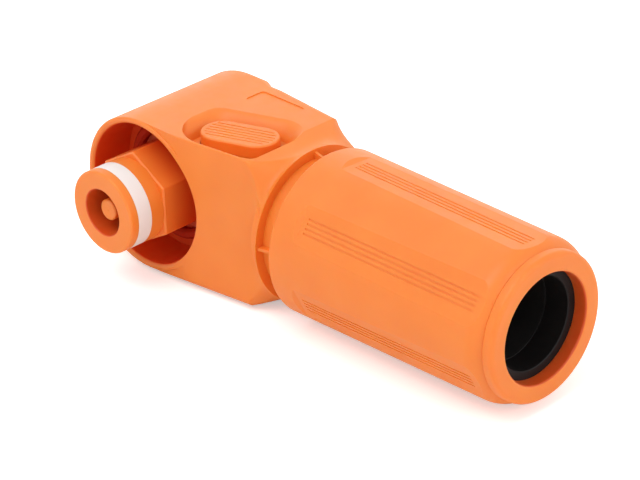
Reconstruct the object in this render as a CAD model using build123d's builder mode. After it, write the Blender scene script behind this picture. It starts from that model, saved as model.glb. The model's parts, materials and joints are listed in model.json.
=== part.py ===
from build123d import *
from math import cos, radians, sin, sqrt
import os

os.makedirs("parts", exist_ok=True)

# A right-angle single-pole power plug with a cable gland.
# The mating axis is Y, with the plug's nose towards -Y. The cable axis is X, with the
# cable leaving towards +X. The origin is where the two axes cross, and +Z is up.

# Clearances
slip = 0.05             # radial, between round pieces that turn on each other
seat = 0.1              # radial, between pieces that are put together and stay
free = 0.3              # between pieces that pass each other
face_gap = 0.05         # between flat faces that slide on each other

# Hood: the round shroud around the plug's nose
hood_r = 15.0           # outside
hood_bore_r = 13.74     # inside
rim_y = -13.6           # front rim
rim_round = 0.75        # rounding of the rim's inner edge
rim_edge = 0.35         # rounding of the rim's outer edge
hood_floor_y = -4.6     # bottom of the hood
floor_wall = 2.0        # thickness of that bottom
drum_rear_y = 14.85     # rear face of the drum behind the hood

# Body: the tapered block between the hood and the collar
body_half_height = 15.0
body_end_x = 25.2       # where the block starts to turn round
front_at_hood_y = -12.8  # front face where it meets the hood's opening
front_taper = 0.126     # rise of the front face towards the collar, per mm
rear_at_axis_y = 14.74  # rear face at the mating axis
rear_taper = 0.1007
body_edge = 1.45        # rounding of the long edges
crest_edge = 0.3        # rounding of the top edge along the front
bulge_x = 4.6           # up to here the block's rear face is level with the drum's
bulge_run = 2.3         # slant from there to the tapered rear face
bulge_round = 1.5
dip = 0.3               # hollow in the rear face behind the slant
dip_run = 2.6

# Turn from square to round: two sections between the block and the collar
waist_x = 27.4
waist_half_height = 14.42
waist_corner = 3.9
waist_crest = 2.4       # rounding of its top edge along the front
throat_x = 29.4
throat_front_y = -11.7
throat_rear_y = 13.25
throat_half_height = 14.08
throat_corner = 8.1

# Collar, neck and threaded spigot
collar_x = 31.4
collar_r = 14.85
neck_r = 13.0
neck_end_x = 40.2
spigot_r = 12.6
spigot_end_x = 58.0
spigot_lead = 0.8       # chamfer at the spigot's mouth
fin_count = 4
fin_angle = 2.0         # of the first fin, from -Y towards +Z
fin_height = 1.3
fin_width = 0.55
fin_end_x = 35.5

# Cavities of the housing
chamber_r = 11.2        # room for the contact's stud and nut
cover_seat_y = 13.2
cover_seat_r = 11.7
gland_bore_x = 41.0
gland_bore_r = 10.3

# Dish and button on top
button_x = 16.4
button_y = -3.7
button_yaw = 20.3       # turn of the button's long axis, in plan
button_length = 15.1
button_width = 8.1
button_top_z = 14.4
button_edge = 0.35
button_travel = 1.4
button_wall = 1.0
button_groove_count = 6
button_groove_pitch = 0.95
button_groove_depth = 0.1
button_groove_width = 0.34
button_groove_inset = 0.75  # from the groove's end to the button's edge
dish_floor_z = 12.0
dish_floor_rim = 0.5    # floor left bare around the button
dish_spread = 3.15      # how far the dish reaches past the button's far side at the top face
dish_left_x = 5.9       # the dish's left edge at the top face
dish_end_x = 26.4       # its end towards the collar
dish_lip = 0.38         # lip between the dish and the front face
dish_front_slope = 0.6  # how far the front wall leans back down to the floor
dish_end_slope = 1.0    # and the end wall
dish_corners = (7.6, 2.6, 5.3, 3.0)  # roundings at the top face: front left, front right, back right, back left
dish_floor_corner = 1.5  # rounding of the floor's two front corners

# Label field on top, left bare
label_x = 7.5
label_y = 10.5
label_length = 11.2
label_width = 4.6
label_corner = 0.8
label_depth = 0.18

# Latch bolt below the button
bolt_z = 8.6
bolt_height = 1.6
bolt_tip_u = -7.36      # along the button's long axis, from its centre
bolt_tail_u = 1.0
bolt_shoulder_u = -3.3
bolt_width = 3.0
bolt_body_width = 4.8
cam_ratio = 0.95        # bolt travel for each mm of button travel
cam_u = -1.6            # foot of the button's cam
cam_thickness = 1.4
cam_width = 2.0
cam_play = 0.12
cam_reach = 0.5         # height of the cam's foot above the bolt's underside
shallow_floor_z = 10.8  # below the button's end over the hood
deep_floor_z = 8.5      # below the button's other end
deep_start_u = -3.7
guide_bottom_z = 10.2   # lower edge of the button's skirt
guide_start_u = -3.4
button_left_z = 12.3    # underside of the button's end over the hood
button_play = 0.15

# Button spring
spring_side_gap = 0.45  # from the spring to the button's end wall
spring_r = 1.5
spring_wire_r = 0.25
spring_turns = 4

# Nose: the insulated socket end
nose_step = 0.15        # the round parts are this much smaller than the hexagon
nose_face_y = -23.3
nose_edge = 0.4
cap_back_y = -21.5
ring_back_y = -18.4
ring_wall = 1.25
hex_af = 16.3
hex_front_y = -15.5     # front of the hexagon
hex_bevel = 0.28
hex_corner = 0.4
pin_hole_r = 4.5
cap_stem_r = 5.55
cap_stem_y = -17.05
nose_web_y = -16.1
groove_depth = 0.7
clip_thickness = 0.8
clip_reach = 1.0        # how far the clip stands out of the spigot
clip_gap = 5.0          # its opening
nose_tail_y = -1.3

# Contact
socket_r = 5.9
socket_bore_r = 4.72
socket_front_y = -15.8
socket_floor_y = -6.6
flange_r = 8.4
flange_af = 14.2
flange_y = 0.0
flange_thickness = 1.6
stud_r = 3.0
stud_end_y = 12.0
post_r = 2.0
post_end_y = -21.95
post_dish = 0.12
post_tail_r = 1.4
post_tail_y = -3.5

# Contact cage: straight slats between two rings, turned so that they narrow in the middle
cage_ring_length = 1.0
cage_front_y = -15.2
cage_back_y = -7.0
cage_ring_wall = 0.3
slat_count = 12
slat_turn = 50.0
slat_width = 0.9
slat_thickness = 0.22

# Carrier behind the hood's bottom
carrier_back_y = 0.7
carrier_screw_count = 3
carrier_screw_pcd_r = 9.9
screw_r = 0.75
screw_head_r = 1.15
screw_head = 0.9
cross_length = 1.5      # recess of the screw's head
cross_width = 0.4
screw_end_y = -3.7

# Cable terminal
palm_thickness = 3.0
palm_half_width = 5.8
palm_end_x = 12.5
barrel_start_x = 19.0
barrel_end_x = 38.0
barrel_r = 7.2
barrel_bore_r = 5.6
barrel_bore_x = 21.0
cable_bore_r = 7.5      # bore of the housing around the barrel
cable_bore_x = 15.2     # where that bore is clear of the hood

# Fasteners on the stud
washer_thickness = 1.2
washer_r = 6.0
lock_washer_thickness = 1.5
lock_washer_r = 5.2
nut_af = 10.0
nut_height = 3.6

# Rear cover
cover_spigot_y = 10.6
cover_spigot_bore_r = 8.3
cover_edge = 0.3
cover_slot_length = 4.0
cover_slot_width = 1.8
cover_slot_depth = 0.7
seal_wire_r = 0.7
cover_seal_y = 12.0

# Interface seal at the hood's bottom
mate_seal_width = 1.9
mate_seal_thickness = 1.6

# Gland: nut, thrust ring, clamp cage, cable seal, neck seal
nut_front_x = 35.5
nut_front_edge = 0.4
nut_step_x = 41.2
nut_rear_r = 15.13      # round parts between the flats, at the shoulder
nut_front_step = 0.57   # how much larger the front is
nut_shoulder_x = 81.4   # where the shoulder starts to fall
nut_shoulder_end_x = 84.5
nut_shoulder_drop = 1.55
nut_tail_drop = 1.38
nut_tail_x = 84.7
nut_end_x = 86.7
nut_end_edge = 0.9
nut_lip_r = 10.2
nut_lip = 2.7
nut_lip_edge = 0.45
nut_mouth_gap = 0.65    # radial, around the neck
nut_thread_x = 41.0
nut_thread_gap = 0.3    # radial, where the threads are
nut_seat_run = 5.0      # taper in front of the thrust ring's room
nut_barrel_x = 57.5
nut_barrel_r = 12.4
flat_count = 6
flat_angle = 33.5       # centre of the first flat, from -Y towards +Z
flat_front_depth = 0.48  # depth of each flat at its front
flat_rear_depth = 0.63  # and at the shoulder
flat_run = 1.2          # length over which each flat's front end runs out
groove_count = 4
groove_pitch = 0.89
groove_width = 0.35
groove_cut = 0.14
groove_start_x = 42.3
groove_end_x = 81.8
ring_front_x = 78.95
ring_r = 11.8
ring_hole_r = 8.6
cable_r = 8.35          # bore of the seal, for the cable's sheath
cable_seal_x = 60.0
cable_seal_r = 10.5
seal_rib = 0.2
cage_x = 50.0
cage_flange_r = 12.0
cage_flange = 1.4
finger_end_x = 78.6
finger_count = 12
finger_slot = 1.2
neck_seal_x = 38.6
neck_groove = 1.1

# Places worked out from the sizes above
chamber_front_y = hood_floor_y + floor_wall
nose_r = hex_af / 2 - nose_step
nose_spigot_r = nose_r
ring_bore_r = nose_r - ring_wall
clip_r = nose_spigot_r + clip_reach
stud_bearing_y = flange_y + flange_thickness
palm_back_y = stud_bearing_y + palm_thickness
washer_back_y = palm_back_y + washer_thickness
lock_back_y = washer_back_y + lock_washer_thickness
clip_y = chamber_front_y + 0.15
clip_groove_r = nose_spigot_r - groove_depth
ring_back_x = nut_end_x - nut_lip - face_gap
nut_front_r = nut_rear_r + nut_front_step
nut_shoulder_end_r = nut_rear_r - nut_shoulder_drop
nut_tail_r = nut_rear_r - nut_tail_drop
nut_mouth_r = neck_r + nut_mouth_gap
nut_thread_r = spigot_r + nut_thread_gap
flat_front = nut_front_r - flat_front_depth
flat_rear = nut_rear_r - flat_rear_depth
spring_u = button_length / 2 - button_wall - spring_r - spring_side_gap
u_dir = Vector(cos(radians(button_yaw)), sin(radians(button_yaw)), 0)
v_dir = Vector(-sin(radians(button_yaw)), cos(radians(button_yaw)), 0)
button_centre = Vector(button_x, button_y, 0)
button_plan = Plane(origin=button_centre, x_dir=u_dir, z_dir=(0, 0, 1))
button_side = Plane(origin=button_centre, x_dir=u_dir, z_dir=-v_dir)


def front_y(x):
    """The front face's place at a given distance along the cable axis."""
    return front_at_hood_y + front_taper * (x - hood_bore_r)


def rear_y(x):
    """The rear face's place at a given distance along the cable axis."""
    return rear_at_axis_y - rear_taper * x


def outwards(angle):
    """The direction away from the cable axis, by its angle from -Y towards +Z."""
    return Vector(0, -cos(radians(angle)), sin(radians(angle)))


def lengthwise_plane(angle):
    """A plane through the cable axis: its x runs along the axis and its y outwards."""
    return Plane(origin=(0, 0, 0), x_dir=(1, 0, 0), z_dir=Vector(1, 0, 0).cross(outwards(angle)))


def rounded_section(x, front, rear, half_height, corner, crest):
    """Draws the body's section across the cable axis; its upper front corner has a rounding of its own."""
    with BuildSketch(Plane.YZ.offset(x)) as section:
        Polygon(
            (front, -half_height), (rear, -half_height), (rear, half_height), (front, half_height), align=None,
        )
        for corner_y, corner_z, rounding in (
            (front, -half_height, corner), (rear, -half_height, corner), (rear, half_height, corner),
            (front, half_height, crest),
        ):
            fillet(section.vertices().sort_by_distance((corner_y, corner_z))[0], rounding)
    return section.sketch


def dish_section(rise, share):
    """Draws the dish's outline at a share of its depth, part of the way from its floor to its top edge."""
    low_back = button_width / 2 + dish_floor_rim
    high_back = button_width / 2 + dish_spread
    low_left = button_x - (button_length - button_width) / 2 * u_dir.X - low_back
    low_end = dish_end_x - dish_end_slope
    left = low_left + share * (dish_left_x - low_left)
    end = low_end + share * (dish_end_x - low_end)
    back = low_back + share * (high_back - low_back)
    lip = dish_lip + (1 - share) * dish_front_slope
    back_at_axis = button_y + back / u_dir.X
    slope = u_dir.Y / u_dir.X
    corners = (
        (left, front_y(left) + lip), (end, front_y(end) + lip), (end, back_at_axis + slope * (end - button_x)),
        (left, back_at_axis + slope * (left - button_x)),
    )
    low_roundings = (dish_floor_corner, dish_floor_corner, low_back, low_back)
    with BuildSketch(Plane.XY.offset(dish_floor_z + rise * (body_half_height - dish_floor_z))) as section:
        Polygon(*corners, align=None)
        for corner, low, high in zip(corners, low_roundings, dish_corners):
            fillet(section.vertices().sort_by_distance(corner)[0], low + share * (high - low))
    return section.sketch


def save(piece, name):
    """Labels a finished piece and writes it under its own name."""
    piece.label = name
    export_step(piece, f"parts/{name}.step")


# Body block, with its long edges rounded
with BuildPart() as block:
    with BuildSketch():
        meet_x = hood_bore_r + (rim_y - front_at_hood_y) / front_taper
        block_front_x = meet_x + rim_edge / front_taper
        dip_x = bulge_x + bulge_run
        Polygon(
            (0, rim_y + rim_edge), (block_front_x, rim_y + rim_edge), (body_end_x, front_y(body_end_x)),
            (body_end_x, rear_y(body_end_x)), (dip_x + dip_run, rear_y(dip_x + dip_run)),
            (dip_x, rear_y(dip_x) - dip), (bulge_x, drum_rear_y), (0, drum_rear_y), align=None,
        )
        for turn in ((bulge_x, drum_rear_y), (dip_x, rear_y(dip_x) - dip), (dip_x + dip_run, rear_y(dip_x + dip_run))):
            fillet(vertices().sort_by_distance(turn)[0], bulge_round)
    extrude(amount=body_half_height, both=True)
    rim_edges = block.edges().filter_by(
        lambda edge: abs(edge.center().Z) > body_half_height - 0.01 and 0.1 < edge.center().X < body_end_x - 0.1
    )
    fillet(rim_edges.filter_by(lambda edge: edge.center().Y > 0), body_edge)
    front_edges = block.edges().filter_by(
        lambda edge: abs(edge.center().Z) > body_half_height - 0.01 and edge.center().Y < front_y(0) / 2
        and edge.length > body_end_x / 2
    )
    fillet(front_edges.sort_by(Axis.Z)[0], body_edge)
    fillet(front_edges.sort_by(Axis.Z)[-1], crest_edge)

# Dish around the button: steep behind the front lip, soft on the far side
with BuildPart() as dish:
    steps = ((0, 0), (0.38, 0.22), (0.68, 0.46), (0.9, 0.74), (1, 1), (1.06, 1.3))
    loft(sections=[dish_section(rise, share) for rise, share in steps])

# Room for the button, its spring and its bolt
with BuildPart() as button_room:
    with BuildSketch(button_plan.offset(shallow_floor_z)):
        SlotOverall(button_length + 2 * button_play, button_width + 2 * button_play)
    extrude(amount=dish_floor_z - shallow_floor_z + 1)
    with BuildSketch(button_plan.offset(deep_floor_z)) as deep_part:
        SlotOverall(button_length + 2 * button_play, button_width + 2 * button_play)
        with Locations((deep_start_u + button_length, 0)):
            Rectangle(2 * button_length, 2 * button_width, mode=Mode.INTERSECT)
    extrude(amount=shallow_floor_z - deep_floor_z + 0.5)
    channel_start_u = bolt_tip_u - 2
    with BuildSketch(button_plan.offset(deep_floor_z)):
        with Locations(((channel_start_u + deep_start_u + 1) / 2, 0)):
            Rectangle(deep_start_u + 1 - channel_start_u, bolt_width + 2 * button_play)
    extrude(amount=bolt_z + bolt_height + button_play - deep_floor_z)
    cam_foot_z = bolt_z + cam_reach
    cam_drift = cam_ratio * (deep_floor_z - cam_foot_z + button_travel)
    with BuildSketch(button_plan.offset(cam_foot_z - button_travel - button_play)):
        with Locations((cam_u + cam_drift / 2, 0)):
            Rectangle(cam_thickness + cam_drift + 4 * button_play, cam_width + 4 * button_play)
    extrude(amount=deep_floor_z - cam_foot_z + button_travel + 2 * button_play)

# Cable bore, and the passage behind the hood's bottom that joins it to the chamber
with BuildPart() as cable_room:
    with BuildSketch():
        Polygon(
            (0, 0), (0, cable_bore_r), (gland_bore_x, cable_bore_r), (gland_bore_x, gland_bore_r),
            (spigot_end_x + 1, gland_bore_r), (spigot_end_x + 1, 0), align=None,
        )
    revolve(axis=Axis.X)
    with BuildSketch():
        with Locations((0, chamber_front_y - cable_bore_r)):
            Rectangle(2 * cable_bore_x, 2 * cable_bore_r)
    extrude(amount=2 * cable_bore_r, both=True, mode=Mode.SUBTRACT)

# Housing: hood, body, collar and spigot, moulded in one
with BuildPart() as housing:
    with BuildSketch() as drum:
        Polygon((0, rim_y), (hood_r, rim_y), (hood_r, drum_rear_y), (0, drum_rear_y), align=None)
        fillet(vertices().sort_by_distance((hood_r, drum_rear_y))[0], body_edge)
        fillet(vertices().sort_by_distance((hood_r, rim_y))[0], rim_edge)
    revolve(axis=Axis.Y)
    with BuildSketch():
        Polygon(
            (meet_x, rim_y), (2 * hood_r, front_y(2 * hood_r)), (2 * hood_r, rim_y - 1), (meet_x, rim_y - 1),
            align=None,
        )
    extrude(amount=hood_r + 1, both=True, mode=Mode.SUBTRACT)
    add(block.part)
    waist = rounded_section(
        waist_x, front_y(waist_x), rear_y(waist_x), waist_half_height, waist_corner, waist_crest,
    )
    throat = rounded_section(
        throat_x, throat_front_y, throat_rear_y, throat_half_height, throat_corner, throat_corner,
    )
    round_end = rounded_section(collar_x, -collar_r, collar_r, collar_r, collar_r - 0.05, collar_r - 0.05)
    loft(sections=[block.faces().sort_by(Axis.X)[-1], waist, throat, round_end])
    with BuildSketch():
        Polygon(
            (collar_x - 3, 0), (collar_x - 3, neck_r), (neck_end_x, neck_r), (neck_end_x + 0.6, spigot_r),
            (spigot_end_x - spigot_lead, spigot_r), (spigot_end_x, spigot_r - spigot_lead),
            (spigot_end_x, 0), align=None,
        )
    revolve(axis=Axis.X)
    for fin in range(fin_count):
        fin_plane = lengthwise_plane(fin_angle + fin * 360 / fin_count)
        with BuildSketch(fin_plane):
            Polygon(
                (collar_x - 1, neck_r - 1), (collar_x - 1, neck_r + fin_height), (collar_x, neck_r + fin_height),
                (fin_end_x, neck_r + fin_height / 4), (fin_end_x, neck_r - 1), align=None,
            )
        extrude(amount=fin_width / 2, both=True)

    # Hood bore with its rounded inner edge, and the hole in the hood's bottom
    with BuildSketch():
        with BuildLine():
            round_r = hood_bore_r + rim_round
            arc_step = rim_round * sin(radians(45))
            Line((0, hood_floor_y), (hood_bore_r, hood_floor_y))
            Line((hood_bore_r, hood_floor_y), (hood_bore_r, rim_y + rim_round))
            ThreePointArc(
                (hood_bore_r, rim_y + rim_round), (round_r - arc_step, rim_y + rim_round - arc_step), (round_r, rim_y),
            )
            Polyline((round_r, rim_y), (round_r, rim_y - 1), (0, rim_y - 1), (0, hood_floor_y))
        make_face()
    revolve(axis=Axis.Y, mode=Mode.SUBTRACT)
    with BuildSketch():
        Polygon(
            (0, hood_floor_y - 1), (nose_spigot_r + slip, hood_floor_y - 1), (nose_spigot_r + slip, chamber_front_y),
            (chamber_r, chamber_front_y), (chamber_r, cover_seat_y), (cover_seat_r, cover_seat_y),
            (cover_seat_r, drum_rear_y + 1), (0, drum_rear_y + 1), align=None,
        )
    revolve(axis=Axis.Y, mode=Mode.SUBTRACT)

    add(cable_room.part, mode=Mode.SUBTRACT)

    # Neck seal groove
    with BuildSketch():
        groove_width_x = 2 * seal_wire_r + 0.5
        with Locations((neck_seal_x, neck_r)):
            Rectangle(groove_width_x, 2 * neck_groove)
    revolve(axis=Axis.X, mode=Mode.SUBTRACT)

    # Dish, button room and label field
    add(dish.part, mode=Mode.SUBTRACT)
    add(button_room.part, mode=Mode.SUBTRACT)
    with BuildSketch(Plane.XY.offset(body_half_height - label_depth)):
        with Locations((label_x + label_length / 2, label_y - label_width / 2)):
            RectangleRounded(label_length, label_width, label_corner)
    extrude(amount=1, mode=Mode.SUBTRACT)

    # Blind holes for the carrier's screws
    with BuildSketch(Plane.XZ.offset(-chamber_front_y)):
        with PolarLocations(carrier_screw_pcd_r, carrier_screw_count, start_angle=90):
            Circle(screw_r)
    extrude(amount=chamber_front_y - screw_end_y, mode=Mode.SUBTRACT)
save(housing.part, "housing")

# Button: a hollow cap with a skirt, fine grooves and a slanted cam
with BuildPart() as release_button:
    with BuildSketch(button_plan.offset(button_left_z)):
        SlotOverall(button_length, button_width)
    extrude(amount=button_top_z - button_left_z)
    fillet(release_button.faces().sort_by(Axis.Z)[-1].edges(), button_edge)
    with BuildSketch(button_plan.offset(guide_bottom_z)):
        SlotOverall(button_length, button_width)
        with Locations((guide_start_u + button_length, 0)):
            Rectangle(2 * button_length, 2 * button_width, mode=Mode.INTERSECT)
    extrude(amount=button_left_z - guide_bottom_z + 0.2)
    roof_z = button_top_z - button_wall
    with BuildSketch(button_plan.offset(guide_bottom_z)):
        SlotOverall(button_length - 2 * button_wall, button_width - 2 * button_wall)
    extrude(amount=roof_z - guide_bottom_z, mode=Mode.SUBTRACT)
    with BuildSketch(button_side):
        lean_z = bolt_z + bolt_height + button_travel + 0.2
        lean = cam_ratio * (lean_z - cam_foot_z)
        half = cam_thickness / 2
        Polygon(
            (cam_u - half, cam_foot_z), (cam_u + half, cam_foot_z), (cam_u + lean + half, lean_z),
            (cam_u + lean + half, roof_z + 0.2), (cam_u + lean - half, roof_z + 0.2),
            (cam_u + lean - half, lean_z), align=None,
        )
    extrude(amount=cam_width / 2, both=True)
    with BuildSketch(button_plan.offset(button_top_z - button_groove_depth)):
        for groove in range(button_groove_count):
            across_v = (groove - (button_groove_count - 1) / 2) * button_groove_pitch
            reach = sqrt((button_width / 2 - button_groove_inset) ** 2 - across_v ** 2)
            with Locations((0, across_v)):
                SlotOverall(button_length - button_width + 2 * reach, button_groove_width)
    extrude(amount=1, mode=Mode.SUBTRACT)
save(release_button.part, "release_button")

# Latch bolt: its nose stands in the hood and the button's cam draws it back
with BuildPart() as latch_bolt:
    with BuildSketch(button_plan.offset(bolt_z)):
        with Locations(((bolt_tip_u + bolt_tail_u) / 2, 0)):
            Rectangle(bolt_tail_u - bolt_tip_u, bolt_width)
        with Locations(((bolt_shoulder_u + bolt_tail_u) / 2, 0)):
            Rectangle(bolt_tail_u - bolt_shoulder_u, bolt_body_width)
    extrude(amount=bolt_height)
    with BuildSketch(button_side):
        rise = cam_ratio * bolt_height
        window_u = cam_u - cam_ratio * cam_reach
        half_window = cam_thickness / 2 + cam_play
        Polygon(
            (window_u - half_window - cam_ratio, bolt_z - 1), (window_u + half_window - cam_ratio, bolt_z - 1),
            (window_u + half_window + rise + cam_ratio, bolt_z + bolt_height + 1),
            (window_u - half_window + rise + cam_ratio, bolt_z + bolt_height + 1), align=None,
        )
    extrude(amount=cam_width / 2 + cam_play, both=True, mode=Mode.SUBTRACT)
save(latch_bolt.part, "latch_bolt")

# Button spring, between the room's floor and the button's roof
with BuildPart() as button_spring:
    spring_low = deep_floor_z + spring_wire_r
    spring_height = roof_z - spring_wire_r - spring_low
    with BuildLine(Plane(origin=button_centre + u_dir * spring_u + Vector(0, 0, spring_low))) as coil:
        Helix(pitch=spring_height / spring_turns, height=spring_height, radius=spring_r)
    with BuildSketch(Plane(origin=coil.line @ 0, z_dir=coil.line % 0)):
        Circle(spring_wire_r)
    sweep(path=coil.line, is_frenet=True)
save(button_spring.part, "button_spring")

# Nose body: hexagon in front of the hood's bottom, turning spigot through it
with BuildPart() as nose_body:
    with BuildSketch(Plane.XZ.offset(-(hood_floor_y - free))):
        RegularPolygon(hex_af / 2, 6, major_radius=False, rotation=30)
        fillet(vertices(), hex_corner)
    extrude(amount=hood_floor_y - free - hex_front_y)
    chamfer(nose_body.faces().sort_by(Axis.Y)[0].edges(), hex_bevel)
    with BuildSketch():
        Polygon(
            (0, nose_tail_y), (nose_spigot_r, nose_tail_y), (nose_spigot_r, hood_floor_y - free - 1),
            (0, hood_floor_y - free - 1), align=None,
        )
        with Locations((nose_spigot_r, clip_y + clip_thickness / 2)):
            Rectangle(2 * groove_depth, clip_thickness + 2 * face_gap, mode=Mode.SUBTRACT)
    revolve(axis=Axis.Y)
    with BuildSketch():
        Polygon(
            (0, hex_front_y + 1), (nose_r, hex_front_y + 1), (nose_r, ring_back_y),
            (ring_bore_r - face_gap, ring_back_y), (ring_bore_r - face_gap, cap_back_y), (0, cap_back_y), align=None,
        )
    revolve(axis=Axis.Y)
    with BuildSketch():
        Polygon(
            (0, cap_back_y - 1), (cap_stem_r + seat, cap_back_y - 1), (cap_stem_r + seat, cap_stem_y),
            (pin_hole_r + seat, cap_stem_y), (pin_hole_r + seat, nose_web_y), (socket_r + slip, nose_web_y),
            (socket_r + slip, nose_tail_y + 1), (0, nose_tail_y + 1), align=None,
        )
    revolve(axis=Axis.Y, mode=Mode.SUBTRACT)
save(nose_body.part, "nose_body")

# Colour ring behind the nose cap
with BuildPart() as colour_ring:
    with BuildSketch():
        Polygon(
            (ring_bore_r, cap_back_y), (nose_r, cap_back_y), (nose_r, ring_back_y), (ring_bore_r, ring_back_y),
            align=None,
        )
    revolve(axis=Axis.Y)
save(colour_ring.part, "colour_ring")

# Nose cap with the pin's hole and a stem that holds it in the nose body
with BuildPart() as nose_cap:
    with BuildSketch():
        Polygon(
            (pin_hole_r, nose_face_y), (nose_r, nose_face_y), (nose_r, cap_back_y), (cap_stem_r, cap_back_y),
            (cap_stem_r, cap_stem_y), (pin_hole_r, cap_stem_y), align=None,
        )
        fillet(vertices().sort_by_distance((nose_r, nose_face_y))[0], nose_edge)
        fillet(vertices().sort_by_distance((pin_hole_r, nose_face_y))[0], nose_edge / 2)
    revolve(axis=Axis.Y)
save(nose_cap.part, "nose_cap")

# Nose clip: an open ring in the spigot's groove, behind the hood's bottom
with BuildPart() as nose_clip:
    with BuildSketch(Plane.XZ.offset(-(clip_y + clip_thickness))):
        Circle(clip_r)
        Circle(clip_groove_r + slip, mode=Mode.SUBTRACT)
        with Locations((-clip_r, 0)):
            Rectangle(2 * clip_r, clip_gap, mode=Mode.SUBTRACT)
    extrude(amount=clip_thickness)
save(nose_clip.part, "nose_clip")

# Contact: socket, flange with two flats, and threaded stud in one turned piece
with BuildPart() as contact_body:
    with BuildSketch():
        Polygon(
            (0, socket_floor_y), (socket_bore_r, socket_floor_y), (socket_bore_r, socket_front_y + 0.5),
            (socket_bore_r + 0.4, socket_front_y), (socket_r, socket_front_y), (socket_r, flange_y),
            (flange_r, flange_y), (flange_r, stud_bearing_y), (stud_r, stud_bearing_y),
            (stud_r, stud_end_y - 0.5), (stud_r - 0.5, stud_end_y), (0, stud_end_y), align=None,
        )
    revolve(axis=Axis.Y)
    with BuildSketch(Plane.XZ.offset(-stud_bearing_y)):
        with Locations((0, flange_af), (0, -flange_af)):
            Rectangle(3 * flange_r, flange_af)
    extrude(amount=flange_thickness, mode=Mode.SUBTRACT)
    with BuildSketch(Plane.XZ.offset(-post_tail_y)):
        Circle(post_tail_r)
    extrude(amount=post_tail_y - socket_floor_y, mode=Mode.SUBTRACT)
save(contact_body.part, "contact_body")

# Contact cage: twelve straight slats, turned between two rings
with BuildPart() as contact_cage:
    cage_r = socket_bore_r - face_gap
    for ring_y in (cage_front_y, cage_back_y - cage_ring_length):
        with BuildSketch(Plane.XZ.offset(-(ring_y + cage_ring_length))):
            Circle(cage_r)
            Circle(cage_r - cage_ring_wall, mode=Mode.SUBTRACT)
        extrude(amount=cage_ring_length)
    slat_r = cage_r - cage_ring_wall + slat_thickness / 3
    for slat in range(slat_count):
        start = radians(slat * 360 / slat_count)
        end = start + radians(slat_turn)
        middle = (start + end) / 2
        front_end = Vector(slat_r * cos(start), cage_front_y + cage_ring_length / 2, slat_r * sin(start))
        back_end = Vector(slat_r * cos(end), cage_back_y - cage_ring_length / 2, slat_r * sin(end))
        along = back_end - front_end
        inwards = Vector(cos(middle), 0, sin(middle))
        with BuildSketch(Plane(origin=front_end, x_dir=inwards, z_dir=along)):
            Rectangle(slat_thickness, slat_width)
        extrude(amount=along.length)
save(contact_cage.part, "contact_cage")

# Touch guard post in the middle of the socket
with BuildPart() as touch_post:
    with BuildSketch():
        with BuildLine():
            rim_r = post_r - 0.5
            Line((0, post_tail_y), (post_tail_r, post_tail_y))
            Line((post_tail_r, post_tail_y), (post_tail_r, socket_floor_y))
            Line((post_tail_r, socket_floor_y), (post_r, socket_floor_y))
            Line((post_r, socket_floor_y), (post_r, post_end_y + 0.2))
            Line((post_r, post_end_y + 0.2), (post_r - 0.2, post_end_y))
            Line((post_r - 0.2, post_end_y), (rim_r, post_end_y))
            Line((rim_r, post_end_y), (0, post_end_y + post_dish))
            Line((0, post_end_y + post_dish), (0, post_tail_y))
        make_face()
    revolve(axis=Axis.Y)
save(touch_post.part, "touch_post")

# Contact carrier: holds the contact's flange behind the hood's bottom
with BuildPart() as contact_carrier:
    with BuildSketch(Plane.XZ.offset(-carrier_back_y)):
        Circle(chamber_r - seat)
    extrude(amount=carrier_back_y - chamber_front_y)
    with BuildSketch(Plane.XZ.offset(-carrier_back_y)):
        Circle(flange_r + seat)
        Rectangle(3 * flange_r, flange_af + 2 * seat, mode=Mode.INTERSECT)
    extrude(amount=carrier_back_y - flange_y, mode=Mode.SUBTRACT)
    with BuildSketch(Plane.XZ.offset(-carrier_back_y)):
        Circle(socket_r + seat)
    extrude(amount=carrier_back_y - chamber_front_y, mode=Mode.SUBTRACT)
    with BuildSketch(Plane.XZ.offset(-(nose_tail_y + free))):
        Circle(clip_r + free)
    extrude(amount=nose_tail_y + free - chamber_front_y, mode=Mode.SUBTRACT)
    with BuildSketch(Plane.XZ.offset(-carrier_back_y)):
        with PolarLocations(carrier_screw_pcd_r, carrier_screw_count, start_angle=90):
            Circle(screw_r + face_gap)
    extrude(amount=carrier_back_y - chamber_front_y, mode=Mode.SUBTRACT)
save(contact_carrier.part, "contact_carrier")

# Three small screws through the carrier into the hood's bottom
with BuildPart() as carrier_screws:
    with BuildSketch(Plane.XZ.offset(-carrier_back_y)):
        with PolarLocations(carrier_screw_pcd_r, carrier_screw_count, start_angle=90):
            Circle(screw_r)
    extrude(amount=carrier_back_y - screw_end_y)
    with BuildSketch(Plane.XZ.offset(-(carrier_back_y + screw_head))):
        with PolarLocations(carrier_screw_pcd_r, carrier_screw_count, start_angle=90):
            Circle(screw_head_r)
    extrude(amount=screw_head)
    with BuildSketch(Plane.XZ.offset(-(carrier_back_y + screw_head))):
        with PolarLocations(carrier_screw_pcd_r, carrier_screw_count, start_angle=90):
            Rectangle(cross_length, cross_width)
            Rectangle(cross_width, cross_length)
    extrude(amount=screw_head / 2, mode=Mode.SUBTRACT)
save(carrier_screws.part, "carrier_screws")

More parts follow.
